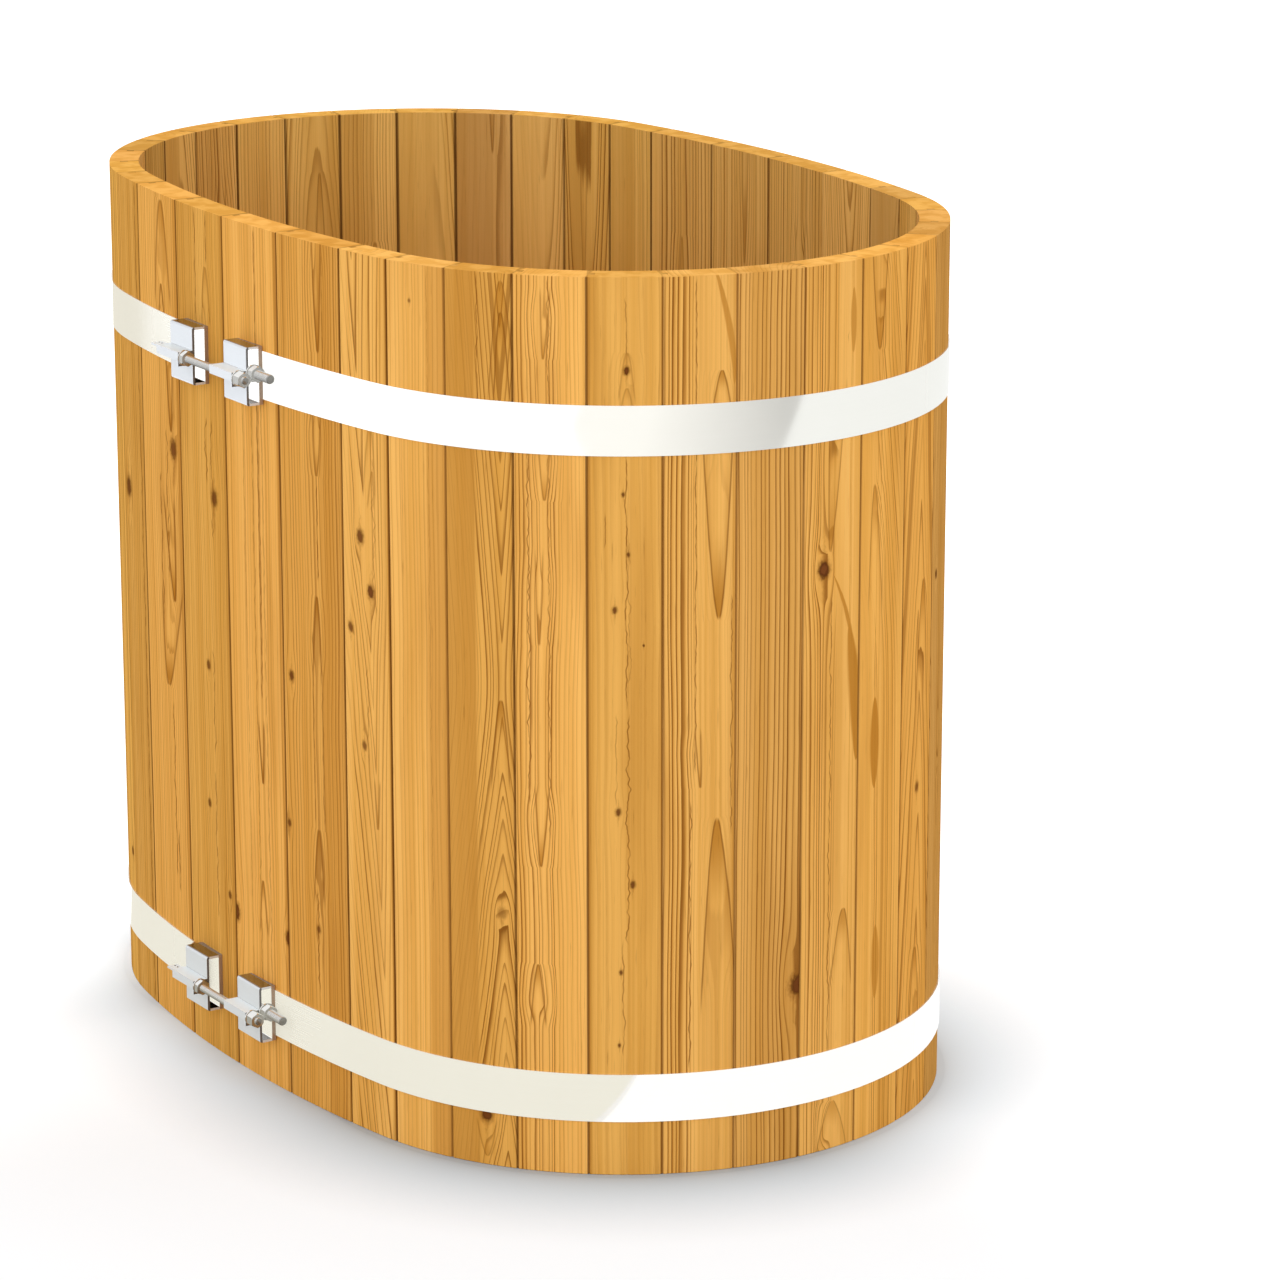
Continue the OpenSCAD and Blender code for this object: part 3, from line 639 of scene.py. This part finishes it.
def bolt_sheet(name):
    """Turned steel, with painted shade on the sides that face down."""
    g = Graph(name)
    x, y, z = g.split(g.place())
    facing_up = g.split(g.normal())[2]
    lines = g.noise(g.vector(x * 900, y * 60, z * 60), 4.0, 0.6)
    color = g.mix(lines, srgb(222, 222, 220), srgb(252, 252, 250))
    # Painted shade: the sides that face down are darkened as if in shadow
    color = g.mix(g.step(facing_up, -0.6, 0.75), srgb(72, 72, 70), color)
    return g.finish(color, 0.14 + (lines - 0.5) * 0.08, g.bump(lines, 0.00003, 0.3), Metallic=0.9)


def hoop_sheet(name):
    """Bright rolled strip, dulled round the clamps."""
    g = Graph(name)
    x, y, z = g.split(g.place())
    lines = g.noise(g.vector(x * 5, y * 5, z * 900), 4.0, 0.6)
    cloud = g.noise(g.vector(x * 9, y * 9, z * 9), 2.0, 0.5)
    color = g.mix(lines * 0.5 + cloud * 0.5, srgb(246, 245, 240), srgb(254, 253, 248))
    dull = (1 - g.step(g.math("ABSOLUTE", x), 0.20, 0.34)) * (1 - g.step(y, -0.1, 0.1))
    roughness = dull * 0.22 + (lines - 0.5) * 0.02 + (cloud - 0.5) * 0.02 + 0.05
    return g.finish(color, roughness, g.bump(lines, 0.00001, 0.03), Metallic=0.7)


def lug_sheet(name):
    """Sheet steel with darker front cut ends, painted shade on its tops and back cut ends, a paler inside to
    its tube as a painted reflection, and a matt white shelf top, painted bluish against the wood's warm
    bounce light.
    """
    g = Graph(name)
    x, y, z = g.split(g.place())
    facing_along, _, facing_up = g.split(g.normal())
    lines = g.noise(g.vector(x * 40, y * 40, z * 700), 4.0, 0.6)
    cloud = g.noise(g.vector(x * 30, y * 30, z * 30), 2.0, 0.5)
    cut = g.step(g.math("ABSOLUTE", facing_along), 0.8, 0.95)
    depth = -LUG_WALL - y
    past_back = g.step(depth, TUBE_BACK - SHEET_EDGE, TUBE_BACK)
    past_front = g.step(depth, TUBE_FRONT - SHEET_EDGE, TUBE_FRONT)
    inside = past_back * (1 - past_front) * (1 - cut)
    color = g.mix(lines * 0.5 + cloud * 0.5, srgb(216, 221, 228), srgb(230, 234, 240))
    # Painted reflection: the tube's inside is paler and more mirror-like so that it reads as a bright
    # reflection
    color = g.mix(inside, color, srgb(252, 252, 250))
    front_cut = cut * g.step(depth, TUBE_FRONT - 0.0008, TUBE_FRONT - 0.0004)
    color = g.mix(front_cut * 0.95, color, srgb(96, 94, 94))
    # Painted shade: the back cut ends take the brown of the wood in shade behind them
    back_cut = cut * (1 - g.step(depth, TUBE_BACK, TUBE_BACK + SHEET_EDGE))
    color = g.mix(back_cut * 0.8, color, srgb(150, 112, 64))
    roughness = (lines - 0.5) * 0.08 + (cloud - 0.5) * 0.06 + 0.24
    above = g.step(facing_up, 0.8, 0.95)
    shelf = above * g.step(depth, LUG_DEPTH, LUG_DEPTH + SHEET_EDGE)
    # Painted shade: the faces that look up are darkened
    color = g.mix(above * 0.9, color, srgb(128, 126, 126))
    # Painted light: the shelf's top is a matt white tinted blue to cancel the warm light that the wood
    # bounces onto it
    color = g.mix(shelf, color, srgb(244, 252, 255))
    g.put(g.shader.inputs["Metallic"], (inside * 0.65 + 0.35) * (1 - shelf))
    g.put(g.shader.inputs["Specular IOR Level"], 0.5 - shelf * 0.45)
    return g.finish(color, roughness, g.bump(lines, 0.00003, 0.25))


hoop_steel = hoop_sheet("hoop_steel")
lug_steel = lug_sheet("lug_steel")
bolt_steel = bolt_sheet("bolt_steel")
for node in ("upper_hoop", "lower_hoop"):
    cover(node, hoop_steel)
lugs = [f"{level}_{side}_lug" for level in ("upper", "lower") for side in ("left", "right")]
bolts = [f"{level}_draw_{part}" for level in ("upper", "lower") for part in ("bolt", "nut")]
bolts += ["lock_nuts", "washers", "lug_studs", "stud_nuts"]
for node in lugs:
    cover(node, lug_steel)
for node in bolts:
    cover(node, bolt_steel)
# The hoops, smooth as mirrors here, would show them twice
for node in lugs + bolts:
    nodes[node].visible_glossy = False
drain_steel = drain_sheet("drain_steel")
cover("drain_body", drain_steel)
cover("drain_lock_nut", drain_steel)


def rubber(name):
    """Matt black rubber."""
    g = Graph(name)
    x, y, z = g.split(g.place())
    grain = g.noise(g.vector(x * 1500, y * 1500, z * 1500), 2.0, 0.6)
    cloud = g.noise(g.vector(x * 60, y * 60, z * 60), 2.0, 0.5)
    color = g.mix(cloud, srgb(24, 24, 25), srgb(40, 40, 41))
    return g.finish(color, 0.55 + (grain - 0.5) * 0.2, g.bump(grain, 0.00008, 0.4))


cover("drain_plug", rubber("plug_rubber"))
cover("drain_gasket", rubber("gasket_rubber"))


# Threads on the draw bolts and studs, and eased edges

STEPS_ROUND = 28
# Height of the thread at even steps along one pitch, and its depth for a pitch of 1
THREAD_PROFILE = (1.0, 1.0, 0.0, 0.0)
THREAD_DEPTH = 0.6
TIP_BEVEL = 0.001


def threaded_bar(start, end, centre_y, centre_z, radius, pitch):
    """Vertices and faces of a bar along X whose thread's crests reach radius: one band that winds from a
    pitch before the start to the end, with both ends cut square and closed."""
    def point(x, reach, k):
        angle = 2 * math.pi * k / STEPS_ROUND
        return (x, centre_y + reach * math.cos(angle), centre_z + reach * math.sin(angle))

    depth = pitch * THREAD_DEPTH
    step = pitch / len(THREAD_PROFILE)
    rows = int((end - start + pitch) / step) + 1
    verts = []
    for row in range(rows + 1):
        crest = THREAD_PROFILE[row % len(THREAD_PROFILE)]
        for k in range(STEPS_ROUND):
            x = min(max(start - pitch + step * row + pitch * k / STEPS_ROUND, start), end)
            reach = min(radius - depth * (1 - crest), radius - max(0.0, x - (end - TIP_BEVEL)))
            verts.append(point(x, reach, k))
    faces = []
    for row in range(rows):
        for k in range(STEPS_ROUND - 1):
            low = row * STEPS_ROUND + k
            faces.append((low, low + 1, low + 1 + STEPS_ROUND, low + STEPS_ROUND))
        # The last column joins the first one, a turn further on
        if row + len(THREAD_PROFILE) <= rows:
            low = row * STEPS_ROUND + STEPS_ROUND - 1
            on = (row + len(THREAD_PROFILE)) * STEPS_ROUND
            corners = (low, on, on + STEPS_ROUND, low + STEPS_ROUND)
            faces.append(tuple(corner for corner in corners if corner < len(verts)))
    base = len(verts)
    for x in (start, end):
        verts.append((x, centre_y, centre_z))
    for x in (start, end - TIP_BEVEL / 4):
        verts.extend(point(x, radius - depth, k) for k in range(STEPS_ROUND))
    for side in range(2):
        first = base + 2 + side * STEPS_ROUND
        for k in range(STEPS_ROUND):
            pair = (first + k, first + (k + 1) % STEPS_ROUND)
            faces.append((base + side,) + (pair if side else pair[::-1]))
    return verts, faces


def thread_steel(name, centre_y, centres_z, crest):
    """Bolt steel with painted shade down in the thread and on the sides that face down; bars along X lie at
    centre_y and each of centres_z.
    """
    g = Graph(name)
    x, y, z = g.split(g.place())
    reach = None
    for centre_z in centres_z:
        off_y = y - centre_y
        off_z = z - centre_z
        distance = g.math("SQRT", off_y * off_y + off_z * off_z)
        reach = distance if reach is None else g.math("MINIMUM", reach, distance)
    cloud = g.noise(g.vector(x * 300, y * 300, z * 300), 2.0, 0.6)
    facing_up = g.split(g.normal())[2]
    # Painted shade down in the thread's grooves, near its root
    root = 1 - g.step(reach, crest - 0.0009, crest - 0.0002)
    color = g.mix(cloud, srgb(214, 213, 210), srgb(244, 243, 240))
    color = g.mix(root * 0.5, color, srgb(84, 82, 78))
    # Painted shade on the sides that face down
    color = g.mix(g.step(facing_up, -0.6, 0.6), srgb(66, 65, 62), color)
    return g.finish(color, 0.22 + (cloud - 0.5) * 0.1, Metallic=0.85)


def block(low, high):
    """Vertices and faces of a box between two corners."""
    xs, ys, zs = zip(low, high)
    verts = [(x, y, z) for x in xs for y in ys for z in zs]
    return verts, [(0, 1, 3, 2), (4, 6, 7, 5), (0, 4, 5, 1), (2, 3, 7, 6), (0, 2, 6, 4), (1, 5, 7, 3)]


def piece(name, parts, material, stands_for, slot):
    """Joins parts into one mesh that takes the place of a CAD node in the looks."""
    verts = []
    faces = []
    for part_verts, part_faces in parts:
        base = len(verts)
        verts.extend(part_verts)
        faces.extend(tuple(base + v for v in face) for face in part_faces)
    mesh = bpy.data.meshes.new(name)
    mesh.from_pydata(verts, [], faces)
    mesh.materials.append(material)
    made = bpy.data.objects.new(name, mesh)
    bpy.context.scene.collection.objects.link(made)
    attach(made, "tub")
    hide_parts(stands_for)
    made.visible_glossy = False


BOLT_RADIUS = 0.005
BOLT_PITCH = 0.0015
STUD_PITCH = 0.00175
HEAD = 0.010
# How far the bolt's shank runs into its head, and how far all these surfaces lie inside the CAD ones
SUNK = 0.002
INSET = 0.00005
for level in ("upper", "lower"):
    low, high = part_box(f"{level}_draw_bolt")
    centre = (low + high) / 2
    shank_from = low.x + HEAD
    shank = threaded_bar(shank_from - SUNK, high.x - INSET, centre.y, centre.z, BOLT_RADIUS - INSET,
                         BOLT_PITCH)
    head = block((low.x + INSET, low.y + INSET, low.z + INSET), (shank_from, high.y - INSET, high.z - INSET))
    thread = thread_steel(f"{level}_thread_steel", centre.y, (centre.z,), BOLT_RADIUS)
    piece(f"{level}_threaded_bolt", [shank, head], thread, f"{level}_draw_bolt", "fasteners")
low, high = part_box("lug_studs")
stud_y = (low.y + high.y) / 2
stud_radius = (high.y - low.y) / 2
stud_heights = (low.z + stud_radius, high.z - stud_radius)
studs = [threaded_bar(low.x + INSET, high.x - INSET, stud_y, z, stud_radius - INSET, STUD_PITCH)
         for z in stud_heights]
thread = thread_steel("stud_thread_steel", stud_y, stud_heights, stud_radius)
piece("threaded_studs", studs, thread, "lug_studs", "fasteners")


def ease(node, width):
    """Rounds a CAD node's sharp edges, which a render otherwise shows as razor thin."""
    bevel = nodes[node].modifiers.new("eased_edges", "BEVEL")
    bevel.width = width
    bevel.segments = 2
    bevel.limit_method = "ANGLE"
    bevel.angle_limit = math.radians(50)
    bevel.harden_normals = False


for node in lugs:
    ease(node, 0.0004)


# Stage: a white floor that keeps the shadow, with a painted shadow round the tub's foot as well, a white
# surround and soft lamps

def seen_directly(g):
    """1 for what the camera, a reflection or a see-through part shows, and 0 for light on surfaces."""
    made = g.tree.nodes.new("ShaderNodeLightPath")
    rays = [Value(g, made.outputs[f"Is {kind} Ray"]) for kind in ("Camera", "Glossy", "Transmission")]
    return g.math("MAXIMUM", g.math("MAXIMUM", rays[0], rays[1]), rays[2])


FLOOR_SIZE = 40.0
FLOOR_LEVEL = -0.0005
# The tub's foot, about: a round end of this radius about each of two centres
END_CENTRE = 0.258
FOOT_RADIUS = 0.41
floor_mesh = bpy.data.meshes.new("stage_floor")
half = FLOOR_SIZE / 2
corners = [(-half, -half, 0), (half, -half, 0), (half, half, 0), (-half, half, 0)]
floor_mesh.from_pydata(corners, [], [(0, 1, 2, 3)])
floor = bpy.data.objects.new("stage_floor", floor_mesh)
floor.location.z = FLOOR_LEVEL
bpy.context.scene.collection.objects.link(floor)
g = Graph("stage_white")
x, y, z = g.split(g.place())
beyond = g.math("MAXIMUM", g.math("ABSOLUTE", x) - END_CENTRE, 0.0)
ring = g.math("SQRT", beyond * beyond + y * y)
away = ring - FOOT_RADIUS
# Painted shadow: the floor's glow, which the camera and reflections see, is weakest near the tub's foot.
# The shadow is deepest on the side that faces the +X end and the clamps alike, and lifts most at the -X end
DIAGONAL = 0.7071
facing = (beyond * g.math("SIGN", x) - y) * DIAGONAL / g.math("MAXIMUM", ring, 0.01)
left_side = g.step(0 - x, -0.25, 0.3)
lift = (1 - g.step(facing, 0.2, 0.75)) * (left_side * 0.12 + 0.2) + left_side * 0.2
glow = g.math("SQRT", g.span(away, 0.0, 0.22)) * 0.42 - 0.035 + lift + g.step(away, 0.3, 2.5) * 0.14
# Painted shadow: the floor's own colour is darker near the foot, and bluer there to cancel the warm light
# bounced from the wood
shade = g.mix(g.step(away, 0.0, 0.2), (0.51, 0.565, 0.61, 1.0), (0.625, 0.645, 0.67, 1.0))
g.finish(shade, 1.0, Specular_IOR_Level=0.0, Emission_Color=WHITE)
g.put(g.shader.inputs["Emission Strength"], seen_directly(g) * glow)
floor_mesh.materials.append(g.material)

# How strongly the surround lights the tub; seen directly, its strength is 1
SURROUND_LIGHT = 0.8
world = bpy.data.worlds.new("surround")
bpy.context.scene.world = world
world.use_nodes = True
sky = Graph("surround", world.node_tree)
background = world.node_tree.nodes["Background"]
background.inputs["Color"].default_value = WHITE
sky.put(background.inputs["Strength"], seen_directly(sky) * (1 - SURROUND_LIGHT) + SURROUND_LIGHT)


def lamp(name, place, target, size, power):
    """A round lamp that no reflection shows. Size is its diameter in metres, and power is in watts."""
    data = bpy.data.lights.new(name, "AREA")
    data.shape = "DISK"
    data.size = size
    data.energy = power
    made = bpy.data.objects.new(name, data)
    made.location = place
    made.rotation_euler = (Vector(target) - Vector(place)).to_track_quat("-Z", "Y").to_euler()
    made.visible_glossy = False
    bpy.context.scene.collection.objects.link(made)


CARD_HEIGHT = 0.002


def card(name, corners, color, fade=None):
    """A flat patch just above the floor that only the steel's reflections show; fade is how its brightness
    changes with y: at what y it starts and ends, and with what strength."""
    mesh = bpy.data.meshes.new(name)
    mesh.from_pydata([(x, y, CARD_HEIGHT) for x, y in corners], [], [tuple(range(len(corners)))])
    made = bpy.data.objects.new(name, mesh)
    bpy.context.scene.collection.objects.link(made)
    g = Graph(name)
    made.visible_camera = False
    made.visible_diffuse = False
    made.visible_transmission = False
    made.visible_volume_scatter = False
    made.visible_shadow = False
    g.finish(BLACK, 1.0, Specular_IOR_Level=0.0, Emission_Color=color, Emission_Strength=1.0)
    if fade is not None:
        start, end, first, last = fade
        y = g.split(g.place())[1]
        g.put(g.shader.inputs["Emission Strength"], g.span(y, start, end) * (last - first) + first)
    mesh.materials.append(g.material)


# The upper hoop's steel reflects the floor about 4 m away, and the lower one's the floor beside it
card("card_right", ((4.0, 0.6), (4.83, 5.0), (0, 7), (-5, 5), (-2, 2.6), (1, 2.8)),
     (0.98, 0.99, 0.97, 1.0))
card("card_middle", ((3.75, -0.75), (4.83, 5.0), (9, 5), (9, -3.4), (3.2, -3.4)),
     (1.0, 0.985, 0.94, 1.0), (-1.9, 1.9, 1.08, 0.54))
card("card_left", ((-7, -2.4), (-3.3, -2.4), (-3.3, 0.9), (-7, 0.9)),
     (0.86, 0.82, 0.70, 1.0))
card("card_near_left", ((-1.2, -0.32), (-1.2, -1.2), (1.4, -1.2), (1.4, -0.38)),
     (0.91, 0.88, 0.76, 1.0))
card("card_near_right", ((0.45, -0.336), (1.6, -0.392), (1.6, 1.0), (0.0, 1.0), (0.3, 0.45)),
     (1.2, 1.2, 1.2, 1.0))

lamp("key", (1.6, -5.0, 3.4), (0, 0, 0.5), 3.0, 49)
lamp("side", (5.2, -0.6, 2.6), (0, 0, 0.5), 3.0, 38)
lamp("top", (0.4, 0.6, 5.2), (0, 0, 0.8), 3.5, 20)

# Camera, fitted to the rim, the foot and the hoops of the photo. It stands this far from a point on the
# tub's middle axis, and is then moved square to its line of sight.
YAW = math.radians(-57.903)
PITCH = math.radians(15.0556)
DISTANCE = 6.4906
LENS = 140.683
SENSOR = 36.0
MOVE_RIGHT = -0.1568
MOVE_UP = 0.0467
AIM_HEIGHT = 0.55
right = Vector((math.cos(YAW), -math.sin(YAW), 0))
forward = Vector((math.sin(YAW) * math.cos(PITCH), math.cos(YAW) * math.cos(PITCH), -math.sin(PITCH)))
up = Vector((math.sin(YAW) * math.sin(PITCH), math.cos(YAW) * math.sin(PITCH), math.cos(PITCH)))
camera_data = bpy.data.cameras.new("camera")
camera_data.lens = LENS
camera_data.sensor_width = SENSOR
camera_data.clip_end = 100
camera = bpy.data.objects.new("camera", camera_data)
bpy.context.scene.collection.objects.link(camera)
spot = Vector((0, 0, AIM_HEIGHT)) - forward * DISTANCE - right * MOVE_RIGHT - up * MOVE_UP
turn = Matrix((right, up, -forward)).transposed().to_4x4()
camera.matrix_world = Matrix.Translation(spot) @ turn
bpy.context.scene.camera = camera

bpy.context.scene.view_settings.view_transform = "Standard"
